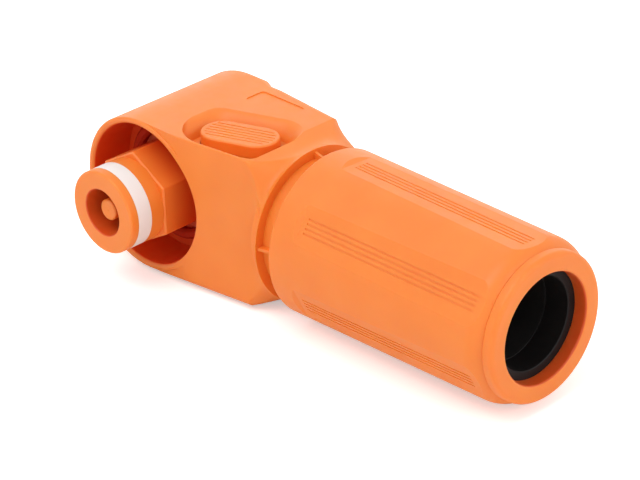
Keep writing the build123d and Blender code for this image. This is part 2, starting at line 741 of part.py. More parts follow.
# Cable terminal: flat palm on the stud, turned into a crimp barrel
with BuildPart() as terminal:
    palm_middle_y = stud_bearing_y + palm_thickness / 2
    with BuildSketch(Plane.XZ.offset(-palm_back_y)):
        Circle(palm_half_width)
        with Locations((palm_end_x / 2 + 0.25, 0)):
            Rectangle(palm_end_x + 0.5, 2 * palm_half_width)
    extrude(amount=palm_thickness)
    with BuildSketch(Plane.YZ.offset(palm_end_x)):
        with Locations((palm_middle_y, 0)):
            RectangleRounded(palm_thickness, 2 * palm_half_width, palm_thickness / 2 - 0.05)
    with BuildSketch(Plane.YZ.offset(barrel_start_x)):
        RectangleRounded(2 * barrel_r, 2 * barrel_r, barrel_r - 0.05)
    loft()
    with BuildSketch(Plane.YZ.offset(barrel_start_x)):
        Circle(barrel_r)
    extrude(amount=barrel_end_x - barrel_start_x)
    with BuildSketch():
        Polygon(
            (barrel_bore_x, 0), (barrel_bore_x, barrel_bore_r), (barrel_end_x - 1, barrel_bore_r),
            (barrel_end_x + 0.1, barrel_bore_r + 0.9), (barrel_end_x + 0.1, 0), align=None,
        )
    revolve(axis=Axis.X, mode=Mode.SUBTRACT)
    with BuildSketch(Plane.XZ.offset(-palm_back_y)):
        Circle(stud_r + seat)
    extrude(amount=palm_thickness, mode=Mode.SUBTRACT)
save(terminal.part, "terminal")

# Flat washer, lock washer and nut on the stud
with BuildPart() as flat_washer:
    with BuildSketch(Plane.XZ.offset(-washer_back_y)):
        Circle(washer_r)
        Circle(stud_r + seat, mode=Mode.SUBTRACT)
    extrude(amount=washer_thickness)
save(flat_washer.part, "flat_washer")

with BuildPart() as lock_washer:
    with BuildSketch(Plane.XZ.offset(-lock_back_y)):
        Circle(lock_washer_r)
        Circle(stud_r + seat, mode=Mode.SUBTRACT)
        with Locations((0, lock_washer_r)):
            Rectangle(0.6, 2 * (lock_washer_r - stud_r) + 1, rotation=15, mode=Mode.SUBTRACT)
    extrude(amount=lock_washer_thickness)
save(lock_washer.part, "lock_washer")

with BuildPart() as lug_nut:
    with BuildSketch(Plane.XZ.offset(-(lock_back_y + nut_height))):
        RegularPolygon(nut_af / 2, 6, major_radius=False)
    extrude(amount=nut_height)
    with BuildSketch():
        Polygon(
            (stud_r, lock_back_y), (nut_af / 2 + 0.2, lock_back_y), (nut_af / 2 + 1.2, lock_back_y + 0.6),
            (nut_af / 2 + 1.2, lock_back_y + nut_height - 0.6), (nut_af / 2 + 0.2, lock_back_y + nut_height),
            (stud_r, lock_back_y + nut_height), align=None,
        )
    revolve(axis=Axis.Y, mode=Mode.INTERSECT)
save(lug_nut.part, "lug_nut")

# Rear cover, set flush in the drum, with a plug that carries its seal
with BuildPart() as rear_cover:
    with BuildSketch():
        groove_bottom_r = chamber_r - 2 * seal_wire_r - face_gap
        groove_half = seal_wire_r + 0.15
        Polygon(
            (0, drum_rear_y), (cover_seat_r - seat - cover_edge, drum_rear_y),
            (cover_seat_r - seat, drum_rear_y - cover_edge), (cover_seat_r - seat, cover_seat_y),
            (chamber_r - seat, cover_seat_y), (chamber_r - seat, cover_seal_y + groove_half),
            (groove_bottom_r, cover_seal_y + groove_half), (groove_bottom_r, cover_seal_y - groove_half),
            (chamber_r - seat, cover_seal_y - groove_half), (chamber_r - seat, cover_spigot_y),
            (cover_spigot_bore_r, cover_spigot_y), (cover_spigot_bore_r, cover_seat_y), (0, cover_seat_y),
            align=None,
        )
    revolve(axis=Axis.Y)
    with BuildSketch(Plane.XZ.offset(-drum_rear_y)):
        with Locations((0, -cover_seat_r)):
            Rectangle(cover_slot_length, cover_slot_width)
    extrude(amount=cover_slot_depth, mode=Mode.SUBTRACT)
save(rear_cover.part, "rear_cover")

# Rings of round section: the cover's seal and the neck's seal
with BuildPart() as cover_seal:
    with BuildSketch():
        with Locations((chamber_r - seal_wire_r - 0.02, cover_seal_y)):
            Circle(seal_wire_r)
    revolve(axis=Axis.Y)
save(cover_seal.part, "cover_seal")

with BuildPart() as neck_seal:
    with BuildSketch():
        with Locations((neck_seal_x, neck_r - neck_groove + seal_wire_r)):
            Circle(seal_wire_r)
    revolve(axis=Axis.X)
save(neck_seal.part, "neck_seal")

# Interface seal on the hood's bottom, around the hexagon
with BuildPart() as interface_seal:
    with BuildSketch():
        seal_inner_r = hex_af / 2 / cos(radians(30)) + free
        seal_outer_r = seal_inner_r + mate_seal_width
        front = hood_floor_y - mate_seal_thickness
        Polygon(
            (seal_inner_r, hood_floor_y), (seal_inner_r, front + 0.5), (seal_inner_r + 0.5, front),
            (seal_outer_r - 0.5, front), (seal_outer_r, front + 0.5), (seal_outer_r, hood_floor_y), align=None,
        )
    revolve(axis=Axis.Y)
save(interface_seal.part, "interface_seal")

# Gland nut: a round front, six grooved flats, a shoulder and a lipped end
with BuildPart() as gland_nut:
    with BuildSketch():
        with BuildLine():
            Polyline(
                (nut_front_x, nut_mouth_r), (nut_front_x, nut_front_r), (nut_step_x, nut_front_r - 0.05),
                (nut_shoulder_x, nut_rear_r),
            )
            TangentArc((nut_shoulder_x, nut_rear_r), (nut_shoulder_end_x, nut_shoulder_end_r), tangent=(1, 0))
            Polyline(
                (nut_shoulder_end_x, nut_shoulder_end_r), (nut_tail_x, nut_tail_r), (nut_end_x, nut_tail_r),
                (nut_end_x, nut_lip_r), (nut_end_x - nut_lip, nut_lip_r), (nut_end_x - nut_lip, ring_r + free),
                (ring_front_x, ring_r + free), (ring_front_x - nut_seat_run, nut_barrel_r), (nut_barrel_x + 0.5, nut_barrel_r),
                (nut_barrel_x, nut_thread_r), (nut_thread_x, nut_thread_r), (nut_thread_x - 0.8, nut_mouth_r),
                (nut_front_x, nut_mouth_r),
            )
        make_face()
        for corner_x, corner_r, rounding in (
            (nut_front_x, nut_front_r, nut_front_edge), (nut_end_x, nut_tail_r, nut_end_edge),
            (nut_end_x, nut_lip_r, nut_lip_edge),
        ):
            fillet(vertices().sort_by_distance((corner_x, corner_r))[0], rounding)
    revolve(axis=Axis.X)
    for side in range(flat_count):
        across = lengthwise_plane(flat_angle + side * 360 / flat_count)
        with BuildSketch(across):
            Polygon(
                (nut_step_x - flat_run, nut_front_r), (nut_step_x, flat_front), (nut_tail_x, flat_rear),
                (nut_tail_x, nut_front_r + 1), (nut_step_x - flat_run, nut_front_r + 1), align=None,
            )
        extrude(amount=nut_front_r / 2, both=True, mode=Mode.SUBTRACT)
        fall = (flat_front - flat_rear) / (nut_tail_x - nut_step_x)
        groove_front = flat_front - fall * (groove_start_x - nut_step_x) - groove_cut
        groove_rear = flat_front - fall * (groove_end_x - nut_step_x) - groove_cut
        for groove in range(groove_count):
            shift = (groove - (groove_count - 1) / 2) * groove_pitch
            with BuildSketch(across.offset(shift)):
                Polygon(
                    (groove_start_x, groove_front), (groove_end_x, groove_rear), (groove_end_x, nut_front_r),
                    (groove_start_x, nut_front_r), align=None,
                )
            extrude(amount=groove_width / 2, both=True, mode=Mode.SUBTRACT)
save(gland_nut.part, "gland_nut")

# Thrust ring: slides in the nut, its face shows in the nut's opening
with BuildPart() as thrust_ring:
    with BuildSketch():
        Polygon(
            (ring_front_x, ring_hole_r), (ring_front_x, ring_r - 0.8), (ring_front_x + 0.8, ring_r),
            (ring_back_x, ring_r), (ring_back_x, ring_hole_r + 0.15), (ring_back_x - 0.15, ring_hole_r), align=None,
        )
    revolve(axis=Axis.X)
save(thrust_ring.part, "thrust_ring")

# Clamp cage: a sleeve in the spigot, with fingers around the cable seal
with BuildPart() as clamp_cage:
    with BuildSketch():
        sleeve_r = gland_bore_r - seat
        finger_r = cable_seal_r + seal_rib + seat
        Polygon(
            (cage_x, ring_hole_r), (cage_x, sleeve_r), (spigot_end_x, sleeve_r), (spigot_end_x, cage_flange_r),
            (spigot_end_x + cage_flange, cage_flange_r), (finger_end_x - 3, cage_flange_r),
            (finger_end_x, cage_flange_r - 0.9), (finger_end_x, finger_r), (cable_seal_x, finger_r),
            (cable_seal_x, ring_hole_r), align=None,
        )
    revolve(axis=Axis.X)
    slot_start_x = cable_seal_x + 2
    slot_length = finger_end_x - slot_start_x + 1
    for slot in range(finger_count // 2):
        with Locations(Location((slot_start_x + slot_length / 2, 0, 0), (slot * 360 / finger_count, 0, 0))):
            Box(slot_length, 3 * cage_flange_r, finger_slot, mode=Mode.SUBTRACT)
save(clamp_cage.part, "clamp_cage")

# Cable seal: a ribbed sleeve inside the fingers
with BuildPart() as cable_seal:
    with BuildSketch():
        Polygon(
            (cable_seal_x, cable_r), (cable_seal_x, cable_seal_r), (ring_front_x - face_gap, cable_seal_r),
            (ring_front_x - face_gap, cable_r), align=None,
        )
    revolve(axis=Axis.X)
    for rib in (0.2, 0.5, 0.8):
        with BuildSketch(Plane.YZ.offset(cable_seal_x + rib * (ring_front_x - cable_seal_x))):
            Circle(cable_seal_r + seal_rib)
            Circle(cable_r + 0.5, mode=Mode.SUBTRACT)
        extrude(amount=1.2)
save(cable_seal.part, "cable_seal")
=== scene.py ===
"""Finishes, thread, button spring, studio and camera of a right-angle power plug.

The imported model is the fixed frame. Its nodes keep their meshes and get their finishes here. Two pieces are
modelled here: the thread of the spigot, whose solid is plain, and the spring, whose solid can't shorten.
"""

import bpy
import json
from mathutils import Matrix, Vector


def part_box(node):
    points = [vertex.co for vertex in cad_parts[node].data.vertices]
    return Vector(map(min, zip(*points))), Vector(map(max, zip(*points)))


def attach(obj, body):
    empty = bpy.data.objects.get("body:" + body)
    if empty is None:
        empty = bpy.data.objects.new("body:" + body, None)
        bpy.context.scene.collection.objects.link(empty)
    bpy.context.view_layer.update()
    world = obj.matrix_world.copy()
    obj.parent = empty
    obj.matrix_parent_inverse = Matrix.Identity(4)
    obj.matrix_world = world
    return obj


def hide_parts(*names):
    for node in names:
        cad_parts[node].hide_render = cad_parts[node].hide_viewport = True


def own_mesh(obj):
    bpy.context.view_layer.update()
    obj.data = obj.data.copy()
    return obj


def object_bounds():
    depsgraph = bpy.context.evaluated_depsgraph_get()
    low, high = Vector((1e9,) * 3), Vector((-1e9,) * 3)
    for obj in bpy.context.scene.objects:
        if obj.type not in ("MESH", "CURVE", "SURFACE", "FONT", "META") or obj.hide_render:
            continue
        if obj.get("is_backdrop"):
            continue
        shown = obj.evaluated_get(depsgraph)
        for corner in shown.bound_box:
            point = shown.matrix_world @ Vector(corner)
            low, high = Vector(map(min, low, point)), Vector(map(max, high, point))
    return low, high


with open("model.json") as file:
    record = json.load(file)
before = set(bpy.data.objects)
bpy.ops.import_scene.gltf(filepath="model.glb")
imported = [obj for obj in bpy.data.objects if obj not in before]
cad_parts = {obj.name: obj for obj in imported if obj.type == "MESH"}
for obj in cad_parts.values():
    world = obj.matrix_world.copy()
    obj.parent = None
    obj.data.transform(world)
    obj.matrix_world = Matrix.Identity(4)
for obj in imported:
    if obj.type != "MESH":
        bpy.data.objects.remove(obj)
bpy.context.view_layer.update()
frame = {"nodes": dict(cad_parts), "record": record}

import json
import logging
from dataclasses import dataclass, replace
from enum import Enum
from math import cos, pi, radians, sin
from typing import Dict, Optional, Sequence, Tuple

import bpy
from mathutils import Matrix, Vector

MM = 0.001
SIGNAL_ORANGE = "#ed8029"
SIGNAL_ORANGE_LIGHT = "#f1862e"
# Painted shade: deeper oranges painted inside the hood, the pin hole and the nut's mouth and onto the hexagon
# towards the hood, for the shade there and the light bounced between orange walls
HOOD_SHADE_ORANGE = "#e14b10"
HOLE_SHADE_ORANGE = "#da5517"
SHADED_ORANGE = "#e65014"
# How far light spreads below the plastic's surface
GLOW_REACH_MM = 1.6
# Noise mostly lies between these values
NOISE_LOW = 0.3
NOISE_HIGH = 0.7
# Places of a Mix node's colour sockets, whose names repeat those of its other sockets
MIX_FIRST_COLOUR = 6
MIX_SECOND_COLOUR = 7
MIX_COLOUR_RESULT = 2
SMOOTH_ANGLE = radians(32)

log = logging.getLogger("power_plug")


class Slot(Enum):
    """The record's material slots."""

    ORANGE = "orange_polyamide"
    WHITE = "white_polyamide"
    BLACK = "black_polyamide"
    RUBBER = "black_silicone"
    SEAL = "orange_silicone"
    SILVER = "silvered_copper"
    TIN = "tinned_copper"
    STEEL = "stainless_steel"
    SPRING = "spring_steel"


def linear(hex_colour: str) -> Tuple[float, float, float, float]:
    """Turns an sRGB colour into the linear values that Blender works in.

    Args:
        hex_colour: six hexadecimal digits, with or without a leading #.

    Returns:
        Red, green, blue and an alpha of 1.
    """
    digits = hex_colour.lstrip("#")
    channels = []
    for start in (0, 2, 4):
        value = int(digits[start:start + 2], 16) / 255
        channels.append(value / 12.92 if value <= 0.04045 else ((value + 0.055) / 1.055) ** 2.4)
    return (channels[0], channels[1], channels[2], 1.0)


def add_node(tree: bpy.types.NodeTree, kind: str, **settings: object) -> bpy.types.Node:
    """Adds a shader node and sets it.

    Args:
        tree: the material's node tree.
        kind: the node's type name.
        settings: attributes of the node by name; those that name a socket set its default value.

    Returns:
        The new node.
    """
    node = tree.nodes.new(kind)
    for name, value in settings.items():
        if hasattr(node, name):
            setattr(node, name, value)
        else:
            node.inputs[name.replace("_", " ")].default_value = value
    return node


class BoreAxis(Enum):
    """The axis that a hole or hood with painted shade lies on."""

    MATING = "Y"
    CABLE = "X"


@dataclass(frozen=True)
class PaintedShadeBore:
    """Painted shade: a hole or hood whose wall is painted a deeper orange, for the shade inside it and the light
    bounced between its orange walls.

    Attributes:
        axis: the axis that it lies on. The next places lie along it.
        radius_mm: only what lies within this radius is toned.
        floor_mm: nothing past this place is toned.
        mouth_mm: where the tone starts to grow.
        deep_mm: where it has its full strength.
        colour: the painted shade colour.
        edge_mm: width of the soft edge at the radius and the floor.
    """

    axis: BoreAxis
    radius_mm: float
    floor_mm: float
    mouth_mm: float
    deep_mm: float
    colour: str
    edge_mm: float = 0.12


class FinishBuilder:
    """A material in the making: one Principled shader with its colour, roughness and bump chains."""

    def __init__(self, name: str) -> None:
        """Starts an empty material.

        Args:
            name: the material's name.
        """
        self.material = bpy.data.materials.new(name)
        self.material.use_nodes = True
        self.tree = self.material.node_tree
        self.tree.nodes.clear()
        self.output = add_node(self.tree, "ShaderNodeOutputMaterial")
        self.shader = add_node(self.tree, "ShaderNodeBsdfPrincipled")
        self.tree.links.new(self.shader.outputs["BSDF"], self.output.inputs["Surface"])
        self.place = add_node(self.tree, "ShaderNodeTexCoord").outputs["Object"]
        self.bump: Optional[bpy.types.Node] = None

    def noise(
        self, size_mm: float, detail: float = 2.0, stretch: Sequence[float] = (1, 1, 1)
    ) -> bpy.types.NodeSocket:
        """Noise whose lumps are about size_mm across.

        Args:
            size_mm: real size of the pattern.
            detail: finer octaves on top.
            stretch: factor on each axis, larger where the pattern is finer.

        Returns:
            The noise's value output.
        """
        mapping = add_node(self.tree, "ShaderNodeMapping")
        mapping.inputs["Scale"].default_value = tuple(stretch)
        self.tree.links.new(self.place, mapping.inputs["Vector"])
        noise = add_node(self.tree, "ShaderNodeTexNoise", Scale=1 / (size_mm * MM), Detail=detail, Roughness=0.55)
        self.tree.links.new(mapping.outputs["Vector"], noise.inputs["Vector"])
        return noise.outputs["Fac"]

    def rings(self, pitch_mm: float, axis: str) -> bpy.types.NodeSocket:
        """Fine turning rings along one axis.

        Args:
            pitch_mm: distance from ring to ring.
            axis: the axis that the rings follow each other along, X, Y or Z.

        Returns:
            The wave's value output.
        """
        wave = add_node(
            self.tree, "ShaderNodeTexWave", wave_type="BANDS", bands_direction=axis, Scale=pi / (10 * pitch_mm * MM),
            Distortion=0.6, Detail=1.0,
        )
        self.tree.links.new(self.place, wave.inputs["Vector"])
        return wave.outputs["Fac"]

    def between(self, value: bpy.types.NodeSocket, low: float, high: float) -> bpy.types.NodeSocket:
        """Maps a noise value to a range.

        Args:
            value: the noise.
            low: what the low end of most noise becomes.
            high: what its high end becomes.

        Returns:
            The mapped value's output.
        """
        return self.mapped(value, (NOISE_LOW, NOISE_HIGH), (low, high))

    def mapped(
        self, value: bpy.types.NodeSocket, source: Tuple[float, float], target: Tuple[float, float]
    ) -> bpy.types.NodeSocket:
        """Maps one range of a value to another, and holds it at its ends.

        Args:
            value: the value.
            source: the two ends that it comes from.
            target: what they become.

        Returns:
            The mapped value's output.
        """
        node = add_node(
            self.tree, "ShaderNodeMapRange",
            From_Min=source[0], From_Max=source[1], To_Min=target[0], To_Max=target[1],
        )
        self.tree.links.new(value, node.inputs["Value"])
        return node.outputs["Result"]

    def painted_shade(self, painted_shade: PaintedShadeBore) -> bpy.types.NodeSocket:
        """Marks where shade is painted: what lies inside a hole or hood.

        Args:
            painted_shade: its place and size.

        Returns:
            A value that is 1 deep inside the hole or hood, and 0 outside it and before its mouth.
        """
        along_x = painted_shade.axis is BoreAxis.CABLE
        across = add_node(self.tree, "ShaderNodeMapping")
        across.inputs["Scale"].default_value = (0, 1, 1) if along_x else (1, 0, 1)
        self.tree.links.new(self.place, across.inputs["Vector"])
        reach = add_node(self.tree, "ShaderNodeVectorMath", operation="LENGTH")
        self.tree.links.new(across.outputs["Vector"], reach.inputs[0])
        depth = add_node(self.tree, "ShaderNodeSeparateXYZ")
        self.tree.links.new(self.place, depth.inputs["Vector"])
        along = depth.outputs["X" if along_x else "Y"]
        edges = (
            (reach.outputs["Value"], painted_shade.radius_mm, painted_shade.radius_mm + painted_shade.edge_mm),
            (along, painted_shade.floor_mm, painted_shade.floor_mm + painted_shade.edge_mm), (along, painted_shade.deep_mm, painted_shade.mouth_mm),
        )
        mark = None
        for value, full, none in edges:
            step = self.mapped(value, (full * MM, none * MM), (1, 0))
            if mark is None:
                mark = step
                continue
            both = add_node(self.tree, "ShaderNodeMath", operation="MULTIPLY")
            self.tree.links.new(mark, both.inputs[0])
            self.tree.links.new(step, both.inputs[1])
            mark = both.outputs["Value"]
        return mark

    def paint_shade(self, mark: bpy.types.NodeSocket, colour: str) -> None:
        """Paints shade: turns the shader's colour into another one where a mark is 1.

        Args:
            mark: how much of the other colour shows, 0 to 1.
            colour: the other colour, in hex.
        """
        mix = add_node(self.tree, "ShaderNodeMix", data_type="RGBA")
        base = self.shader.inputs["Base Color"].links[0].from_socket
        self.tree.links.new(mark, mix.inputs["Factor"])
        self.tree.links.new(base, mix.inputs[MIX_FIRST_COLOUR])
        mix.inputs[MIX_SECOND_COLOUR].default_value = linear(colour)
        self.tree.links.new(mix.outputs[MIX_COLOUR_RESULT], self.shader.inputs["Base Color"])

    def colour(self, value: bpy.types.NodeSocket, dark: str, light: str) -> None:
        """Colours the shader between two colours.

        Args:
            value: the noise that chooses between them.
            dark: hex colour at its low end.
            light: hex colour at its high end.
        """
        ramp = add_node(self.tree, "ShaderNodeValToRGB")
        ends = ((NOISE_LOW, dark), (NOISE_HIGH, light))
        for element, (position, shade) in zip(ramp.color_ramp.elements, ends):
            element.position = position
            element.color = linear(shade)
        self.tree.links.new(value, ramp.inputs["Fac"])
        self.tree.links.new(ramp.outputs["Color"], self.shader.inputs["Base Color"])

    def roughness(self, value: bpy.types.NodeSocket, low: float, high: float) -> None:
        """Varies the shader's roughness between low and high by a value."""
        self.tree.links.new(self.between(value, low, high), self.shader.inputs["Roughness"])

    def relief(self, value: bpy.types.NodeSocket, depth_mm: float, strength: float = 1.0) -> None:
        """Adds relief of a real depth on top of what is there.

        Args:
            value: the height, 0 to 1.
            depth_mm: real depth of the relief.
            strength: share of its effect.
        """
        bump = add_node(self.tree, "ShaderNodeBump", Strength=strength, Distance=depth_mm * MM)
        self.tree.links.new(value, bump.inputs["Height"])
        if self.bump is not None:
            self.tree.links.new(self.bump.outputs["Normal"], bump.inputs["Normal"])
        self.tree.links.new(bump.outputs["Normal"], self.shader.inputs["Normal"])
        self.bump = bump

    def fixed(self, **values: object) -> None:
        """Sets constants on the shader's own sockets, by socket name with spaces as underscores."""
        for name, value in values.items():
            self.shader.inputs[name.replace("_", " ")].default_value = value


@dataclass(frozen=True)
class MouldedPlastic:
    """Injection-moulded plastic: fine spark-eroded grain, soft flow clouds and a satin surface.

    The real grain is some hundredths of a millimetre wide. It is drawn coarser, so that it shows.
    """

    name: str
    dark: str
    light: str
    rough_low: float = 0.42
    rough_high: float = 0.52
    grain_mm: float = 0.16
    grain_depth_mm: float = 0.006
    cloud_mm: float = 9.0
    cloud_depth_mm: float = 0.01
    cloud_strength: float = 0.5
    ior: float = 1.5
    gloss: float = 0.5
    glow: float = 0.0
    glow_radius: Tuple[float, float, float] = (1.0, 0.22, 0.06)
    # Painted shade inside a hole or hood, if any
    painted_shade: Optional[PaintedShadeBore] = None

    def build(self) -> bpy.types.Material:
        """Makes the material.

        Returns:
            The material, on Object coordinates.
        """
        finish = FinishBuilder(self.name)
        finish.colour(finish.noise(self.cloud_mm, 3.0), self.dark, self.light)
        # Painted shade: a deeper orange inside a hole or hood
        if self.painted_shade is not None:
            finish.paint_shade(finish.painted_shade(self.painted_shade), self.painted_shade.colour)
        finish.roughness(finish.noise(self.cloud_mm / 4, 2.0), self.rough_low, self.rough_high)
        finish.relief(finish.noise(self.grain_mm, 1.0), self.grain_depth_mm)
        finish.relief(finish.noise(self.cloud_mm / 2, 1.0), self.cloud_depth_mm, self.cloud_strength)
        finish.fixed(IOR=self.ior, Specular_IOR_Level=self.gloss)
        if self.glow:
            finish.fixed(
                Subsurface_Weight=self.glow, Subsurface_Radius=self.glow_radius,
                Subsurface_Scale=GLOW_REACH_MM * MM,
            )
        return finish.material


@dataclass(frozen=True)
class SoftRubber:
    """Silicone rubber: matt, with a faint bloom of talc."""

    name: str
    dark: str
    light: str
    bloom_mm: float = 2.6
    smear_mm: float = 1.4
    rough_low: float = 0.62
    rough_high: float = 0.78
    grain_mm: float = 0.22
    grain_depth_mm: float = 0.012
    ior: float = 1.42
    gloss: float = 0.5

    def build(self) -> bpy.types.Material:
        """Makes the material.

        Returns:
            The material, on Object coordinates.
        """
        finish = FinishBuilder(self.name)
        finish.colour(finish.noise(self.bloom_mm, 4.0), self.dark, self.light)
        finish.roughness(finish.noise(self.smear_mm, 3.0), self.rough_low, self.rough_high)
        finish.relief(finish.noise(self.grain_mm, 2.0), self.grain_depth_mm)
        finish.fixed(IOR=self.ior, Specular_IOR_Level=self.gloss)
        return finish.material


@dataclass(frozen=True)
class TurnedMetal:
    """Metal with turning or drawing marks, plated or plain.

    Real marks lie a few hundredths of a millimetre apart. They are drawn wider apart, so that they show.
    """

    name: str
    dark: str
    light: str
    stain_mm: float = 3.5
    polish_mm: float = 0.8
    ring_mm: float = 0.12
    ring_depth_mm: float = 0.002
    pit_mm: float = 0.3
    pit_depth_mm: float = 0.002
    pit_strength: float = 0.6
    rough_low: float = 0.2
    rough_high: float = 0.34
    axis: str = "Y"

    def build(self) -> bpy.types.Material:
        """Makes the material.

        Returns:
            The material, on Object coordinates.
        """
        finish = FinishBuilder(self.name)
        finish.colour(finish.noise(self.stain_mm, 4.0), self.dark, self.light)
        finish.roughness(finish.noise(self.polish_mm, 3.0), self.rough_low, self.rough_high)
        finish.relief(finish.rings(self.ring_mm, self.axis), self.ring_depth_mm)
        finish.relief(finish.noise(self.pit_mm, 3.0), self.pit_depth_mm, self.pit_strength)
        finish.fixed(Metallic=1.0)
        return finish.material


def deselect_all() -> None:
    """Leaves object mode with nothing selected."""
    if bpy.context.object is not None and bpy.context.object.mode != "OBJECT":
        bpy.ops.object.mode_set(mode="OBJECT")
    bpy.ops.object.select_all(action="DESELECT")


def settle(piece: bpy.types.Object, name: str) -> bpy.types.Object:
    """Puts a piece's place into its mesh, names it and shades it smooth by angle.

    Args:
        piece: the object, active or not.
        name: its new name.

    Returns:
        The same object, at the origin.
    """
    deselect_all()
    piece.select_set(True)
    bpy.context.view_layer.objects.active = piece
    bpy.ops.object.transform_apply(location=True, rotation=True, scale=True)
    bpy.ops.object.shade_smooth_by_angle(angle=SMOOTH_ANGLE)
    piece.name = name
    piece.data.name = name
    return piece


def apply_modifiers(piece: bpy.types.Object) -> None:
    """Applies every modifier of a piece, in order.

    Args:
        piece: the object.
    """
    deselect_all()
    piece.select_set(True)
    bpy.context.view_layer.objects.active = piece
    for modifier in list(piece.modifiers):
        bpy.ops.object.modifier_apply(modifier=modifier.name)


@dataclass
class ThreadRidge:
    """A helical thread ridge around the cable axis, wound from one tapered tooth."""

    name: str = "spigot_thread"
    body: str = "housing"
    root_r: float = 12.55
    crest_r: float = 12.85
    start_x: float = 41.5
    end_x: float = 57.0
    pitch: float = 2.0
    tooth_root: float = 1.3
    tooth_crest: float = 0.45
    steps: int = 64

    def build(self, finish: bpy.types.Material) -> bpy.types.Object:
        """Winds the ridge.

        Args:
            finish: its material.

        Returns:
            The ridge, riding on its body.
        """
        deselect_all()
        bpy.ops.mesh.primitive_plane_add(size=1, location=(0, 0, 0))
        tooth = bpy.context.object
        half_root, half_crest = self.tooth_root / 2, self.tooth_crest / 2
        outline = (
            (-half_root, self.root_r), (half_root, self.root_r), (-half_crest, self.crest_r),
            (half_crest, self.crest_r),
        )
        for vertex, (along, out) in zip(tooth.data.vertices, outline):
            vertex.co = Vector((out * MM, 0, (self.start_x + self.tooth_root / 2 + along) * MM))
        screw = tooth.modifiers.new("wind", "SCREW")
        turns = (self.end_x - self.start_x - self.tooth_root) / self.pitch
        screw.axis = "Z"
        screw.angle = 2 * pi * turns
        screw.screw_offset = turns * self.pitch * MM
        screw.steps = screw.render_steps = round(self.steps * turns)
        screw.use_merge_vertices = True
        apply_modifiers(tooth)
        tooth.matrix_world = Matrix.Rotation(radians(90), 4, "Y")
        ridge = settle(tooth, self.name)
        self.close(ridge)
        ridge.data.materials.clear()
        ridge.data.materials.append(finish)
        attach(ridge, self.body)
        log.info("%s: %d faces", self.name, len(ridge.data.polygons))
        return ridge

    def close(self, ridge: bpy.types.Object) -> None:
        """Closes the ridge's two ends and turns its faces outwards.

        Args:
            ridge: the wound ridge.
        """
        deselect_all()
        ridge.select_set(True)
        bpy.context.view_layer.objects.active = ridge
        bpy.ops.object.mode_set(mode="EDIT")
        bpy.ops.mesh.select_all(action="SELECT")
        bpy.ops.mesh.remove_doubles(threshold=1e-6)
        bpy.ops.mesh.select_all(action="DESELECT")
        bpy.ops.mesh.select_non_manifold()
        bpy.ops.mesh.edge_face_add()
        bpy.ops.mesh.select_all(action="SELECT")
        bpy.ops.mesh.normals_make_consistent(inside=False)
        bpy.ops.object.mode_set(mode="OBJECT")


@dataclass
class ButtonSpring:
    """The compression spring below the button, wound in place of its solid."""

    name: str = "button_coil"
    node: str = "button_spring"
    joint: str = "button_press"
    wire_r: float = 0.25
    turns: int = 4
    wire_sides: int = 16
    steps: int = 40

    def build(self, finish: bpy.types.Material) -> bpy.types.Object:
        """Winds the spring where the solid one is.

        Args:
            finish: its material.

        Returns:
            The spring, standing on the housing.
        """
        low, high = (Vector(corner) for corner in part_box(self.node))
        middle, size = (low + high) / 2, high - low
        wire = self.wire_r * MM
        deselect_all()
        bpy.ops.mesh.primitive_circle_add(
            vertices=self.wire_sides, radius=wire, location=(size.x / 2 - wire, 0, 0), rotation=(pi / 2, 0, 0)
        )
        coil = bpy.context.object
        bpy.ops.object.transform_apply(location=True, rotation=True, scale=True)
        screw = coil.modifiers.new("wind", "SCREW")
        screw.axis = "Z"
        screw.angle = 2 * pi * self.turns
        screw.screw_offset = size.z - 2 * wire
        screw.steps = screw.render_steps = self.steps * self.turns
        apply_modifiers(coil)
        coil.location = (middle.x, middle.y, low.z + wire)
        spring = settle(coil, self.name)
        bpy.ops.object.mode_set(mode="EDIT")
        bpy.ops.mesh.select_all(action="SELECT")
        bpy.ops.mesh.fill_holes(sides=self.wire_sides)
        bpy.ops.mesh.normals_make_consistent(inside=False)
        bpy.ops.object.mode_set(mode="OBJECT")
        spring.data.materials.append(finish)
        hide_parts(self.node)
        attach(spring, "housing")
        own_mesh(spring)
        log.info("%s: %d faces, %.2f mm long", self.name, len(spring.data.polygons), size.z / MM)
        return spring


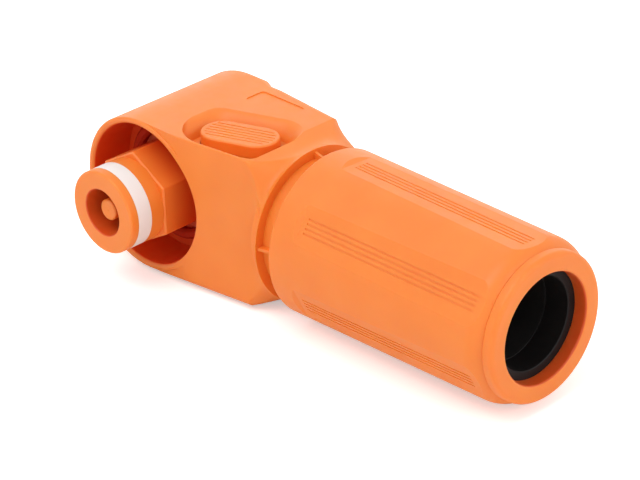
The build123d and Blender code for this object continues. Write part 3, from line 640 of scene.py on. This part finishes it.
@dataclass
class PlugDressing:
    """Gives every CAD node its finish, with painted shade, a deeper orange, where walls face each other."""

    orange_glow: float = 0.35
    grooved_glow: float = 0.6
    grooved_radius: Tuple[float, float, float] = (1.0, 0.4, 0.14)
    # Painted shade: inside the hood, the pin hole and the nut's mouth, and on the hexagon towards the hood
    hood: PaintedShadeBore = PaintedShadeBore(BoreAxis.MATING, 13.76, 2.0, 30.0, 20.0, HOOD_SHADE_ORANGE)
    pin_hole: PaintedShadeBore = PaintedShadeBore(BoreAxis.MATING, 4.62, 0.0, 30.0, 20.0, HOLE_SHADE_ORANGE)
    hexagon: PaintedShadeBore = PaintedShadeBore(BoreAxis.MATING, 20.0, 30.0, -17.0, -8.0, SHADED_ORANGE)
    nut_lip: PaintedShadeBore = PaintedShadeBore(BoreAxis.CABLE, 10.3, 99.0, 200.0, 150.0, HOLE_SHADE_ORANGE)

    def orange(self) -> MouldedPlastic:
        """Gives the finish of the orange pieces, before what each of them changes."""
        # Glass-filled polyamide in signal orange, from a spark-eroded mould: wide soft highlights on a fine
        # grain, and edges that look lit from inside
        return MouldedPlastic("orange polyamide", SIGNAL_ORANGE, SIGNAL_ORANGE_LIGHT, glow=self.orange_glow)

    def finishes(self) -> Dict[Slot, bpy.types.Material]:
        """Makes one material for each slot.

        Returns:
            The materials by slot.
        """
        return {
            Slot.ORANGE: self.orange().build(),
            # Natural unfilled polyamide: milky white, a little smoother than the orange
            Slot.WHITE: MouldedPlastic(
                "white polyamide", "#e6e2df", "#eeeae7", rough_low=0.4, rough_high=0.5
            ).build(),
            # Black glass-filled polyamide: the glass dulls it, so it stays dark with hardly a highlight
            Slot.BLACK: MouldedPlastic(
                "black polyamide", "#110f0f", "#171514", rough_low=0.5, rough_high=0.6, gloss=0.25
            ).build(),
            # Black silicone: soft and matt, without a clear highlight
            Slot.RUBBER: SoftRubber("black silicone", "#0f0d0c", "#171413").build(),
            # Orange silicone: a duller, redder band at the hood's bottom
            Slot.SEAL: SoftRubber("orange silicone", "#b0280b", "#b92e0e", gloss=0.2).build(),
            # Silver-plated turned copper alloy: bright and warm, with fine turning rings
            Slot.SILVER: TurnedMetal("silver plate", "#d8d3c8", "#e9e5dc").build(),
            # Tin-plated drawn copper: paler and duller than silver, marked along the cable
            Slot.TIN: TurnedMetal(
                "tin plate", "#bfbdb8", "#d0cec9", ring_mm=0.2, rough_low=0.3, rough_high=0.44, axis="X"
            ).build(),
            # Plain stainless steel, stamped or turned: cool grey with a tight highlight
            Slot.STEEL: TurnedMetal("stainless steel", "#b4b2ae", "#c6c4c0").build(),
            # Drawn spring steel wire: a darker grey, with its die marks wider apart
            Slot.SPRING: TurnedMetal("spring steel", "#a09e9b", "#b3b1ae", ring_mm=0.3).build(),
        }

    def own_finishes(self) -> Dict[str, bpy.types.Material]:
        """Makes the orange of the pieces that have one of their own, with painted shade near and inside holes and
        the hood, or a wider glow.

        Returns:
            The materials by node.
        """
        # A wider glow softens the fine grooves
        grooved = {"glow": self.grooved_glow, "glow_radius": self.grooved_radius}
        changes = {
            "housing": {"painted_shade": self.hood},
            "nose_cap": {"painted_shade": self.pin_hole},
            "nose_body": {"painted_shade": self.hexagon},
            "gland_nut": {"painted_shade": self.nut_lip, **grooved},
            "release_button": grooved,
        }
        return {
            node: replace(self.orange(), name=f"orange polyamide, {node}", **change).build()
            for node, change in changes.items()
        }

    def build(self) -> Dict[Slot, bpy.types.Material]:
        """Dresses the nodes.

        Returns:
            The finishes by slot, for the pieces that are added.
        """
        finishes = self.finishes()
        own = self.own_finishes()
        slots = {part["node"]: part["material_slot"] for part in frame["record"]["subparts"]}
        for name, node in frame["nodes"].items():
            finish = own.get(name) or finishes[Slot(slots[name])]
            for place in node.material_slots:
                place.material = finish
            log.info("%s: %s", name, finish.name)
        return finishes


@dataclass(frozen=True)
class Lamp:
    """A soft square lamp that looks at the middle of the plug.

    Attributes:
        name: its name.
        azimuth: direction it stands in, in degrees, as for the camera.
        elevation: height of that direction above the horizon, in degrees.
        size_mm: side of the lamp.
        watts: its power.
    """

    name: str
    azimuth: float
    elevation: float
    size_mm: float
    watts: float


@dataclass
class Studio:
    """Pale floor, soft lamps, white world, and the camera at the photograph's viewing angle."""

    azimuth: float = 46.169
    elevation: float = 28.332
    roll: float = -1.574
    distance_mm: float = 528.96
    target_mm: Tuple[float, float, float] = (32.483, 0.0, -2.914)
    focal_px: float = 2945.5
    image_width_px: float = 640.0
    sensor_mm: float = 36.0
    near_m: float = 0.01
    far_m: float = 100.0
    world_light: float = 0.75
    lamp_distance_m: float = 1.2
    lamps: Tuple[Lamp, ...] = (
        Lamp("overhead", azimuth=-10, elevation=63, size_mm=750, watts=5.5),
        Lamp("side", azimuth=100, elevation=25, size_mm=600, watts=2.7),
        Lamp("back", azimuth=226, elevation=18, size_mm=900, watts=2),
    )
    floor_mm: float = 3000.0
    floor_colour: str = "#fbfaf9"
    floor_roughness: float = 0.9
    # Seen by the camera only, so that the pale floor shows white and keeps the shadow
    floor_glow: float = 0.42

    def towards(self, azimuth: float, elevation: float) -> Vector:
        """Gives a direction away from the plug.

        Args:
            azimuth: degrees from -Y towards +X.
            elevation: degrees above the horizon.

        Returns:
            The unit vector.
        """
        az, el = radians(azimuth), radians(elevation)
        return Vector((sin(az) * cos(el), -cos(az) * cos(el), sin(el)))

    def camera(self) -> None:
        """Places the camera."""
        az, roll = radians(self.azimuth), radians(self.roll)
        back = self.towards(self.azimuth, self.elevation)
        right = Vector((cos(az), sin(az), 0))
        up = back.cross(right)
        turned_right = right * cos(roll) + up * sin(roll)
        turned_up = -right * sin(roll) + up * cos(roll)
        place = (Vector(self.target_mm) + back * self.distance_mm) * MM
        lens = bpy.data.cameras.new("camera")
        lens.sensor_fit = "HORIZONTAL"
        lens.sensor_width = self.sensor_mm
        lens.lens = self.focal_px / self.image_width_px * self.sensor_mm
        lens.clip_start = self.near_m
        lens.clip_end = self.far_m
        camera = bpy.data.objects.new("camera", lens)
        turn = Matrix((turned_right, turned_up, back)).transposed().to_4x4()
        camera.matrix_world = Matrix.Translation(place) @ turn
        bpy.context.scene.collection.objects.link(camera)
        bpy.context.scene.camera = camera

    def floor(self) -> None:
        """Lays the floor under the object's lowest point."""
        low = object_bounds()[0][2]
        deselect_all()
        bpy.ops.mesh.primitive_plane_add(size=self.floor_mm * MM, location=(0, 0, low))
        floor = bpy.context.object
        floor.name = "floor"
        material = bpy.data.materials.new("pale floor")
        material.use_nodes = True
        shader = material.node_tree.nodes["Principled BSDF"]
        shader.inputs["Base Color"].default_value = linear(self.floor_colour)
        shader.inputs["Roughness"].default_value = self.floor_roughness
        shader.inputs["Specular IOR Level"].default_value = 0.0
        shader.inputs["Emission Color"].default_value = (1, 1, 1, 1)
        path = add_node(material.node_tree, "ShaderNodeLightPath")
        glow = add_node(material.node_tree, "ShaderNodeMath", operation="MULTIPLY")
        glow.inputs[1].default_value = self.floor_glow
        material.node_tree.links.new(path.outputs["Is Camera Ray"], glow.inputs[0])
        material.node_tree.links.new(glow.outputs["Value"], shader.inputs["Emission Strength"])
        floor.data.materials.append(material)
        floor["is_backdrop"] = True

    def hang(self, lamp: Lamp) -> None:
        """Hangs a lamp.

        Args:
            lamp: its place, size and power.
        """
        away = self.towards(lamp.azimuth, lamp.elevation)
        light = bpy.data.lights.new(lamp.name, "AREA")
        light.size = lamp.size_mm * MM
        light.energy = lamp.watts
        hung = bpy.data.objects.new(lamp.name, light)
        hung.location = Vector(self.target_mm) * MM + away * self.lamp_distance_m
        hung.rotation_euler = away.to_track_quat("Z", "Y").to_euler()
        bpy.context.scene.collection.objects.link(hung)

    def world(self) -> None:
        """Lights the room evenly, and shows it white to the camera, in reflections and through glass."""
        world = bpy.data.worlds.new("room")
        bpy.context.scene.world = world
        world.use_nodes = True
        tree = world.node_tree
        tree.nodes.clear()
        output = add_node(tree, "ShaderNodeOutputWorld")
        light = add_node(tree, "ShaderNodeBackground", Strength=self.world_light)
        shown = add_node(tree, "ShaderNodeBackground", Strength=1.0)
        for node in (light, shown):
            node.inputs["Color"].default_value = (1, 1, 1, 1)
        path = add_node(tree, "ShaderNodeLightPath")
        seen = path.outputs["Is Camera Ray"]
        for ray in ("Is Glossy Ray", "Is Transmission Ray"):
            either = add_node(tree, "ShaderNodeMath", operation="MAXIMUM")
            tree.links.new(seen, either.inputs[0])
            tree.links.new(path.outputs[ray], either.inputs[1])
            seen = either.outputs["Value"]
        mix = add_node(tree, "ShaderNodeMixShader")
        tree.links.new(seen, mix.inputs["Fac"])
        tree.links.new(light.outputs["Background"], mix.inputs[1])
        tree.links.new(shown.outputs["Background"], mix.inputs[2])
        tree.links.new(mix.outputs["Shader"], output.inputs["Surface"])

    def build(self) -> None:
        """Sets the whole studio up."""
        bpy.context.scene.view_settings.view_transform = "Standard"
        self.world()
        for lamp in self.lamps:
            self.hang(lamp)
        self.floor()
        self.camera()


def main() -> None:
    """Builds the pieces and the studio in order."""
    logging.basicConfig(level=logging.INFO, format="%(name)s: %(message)s")
    for old in [thing for thing in bpy.context.scene.objects if thing.type in ("LIGHT", "CAMERA")]:
        bpy.data.objects.remove(old)
    finishes = PlugDressing().build()
    ThreadRidge().build(finishes[Slot.ORANGE])
    ButtonSpring().build(finishes[Slot.SPRING])
    Studio().build()
    bpy.context.view_layer.update()


if __name__ == "__main__":
    main()
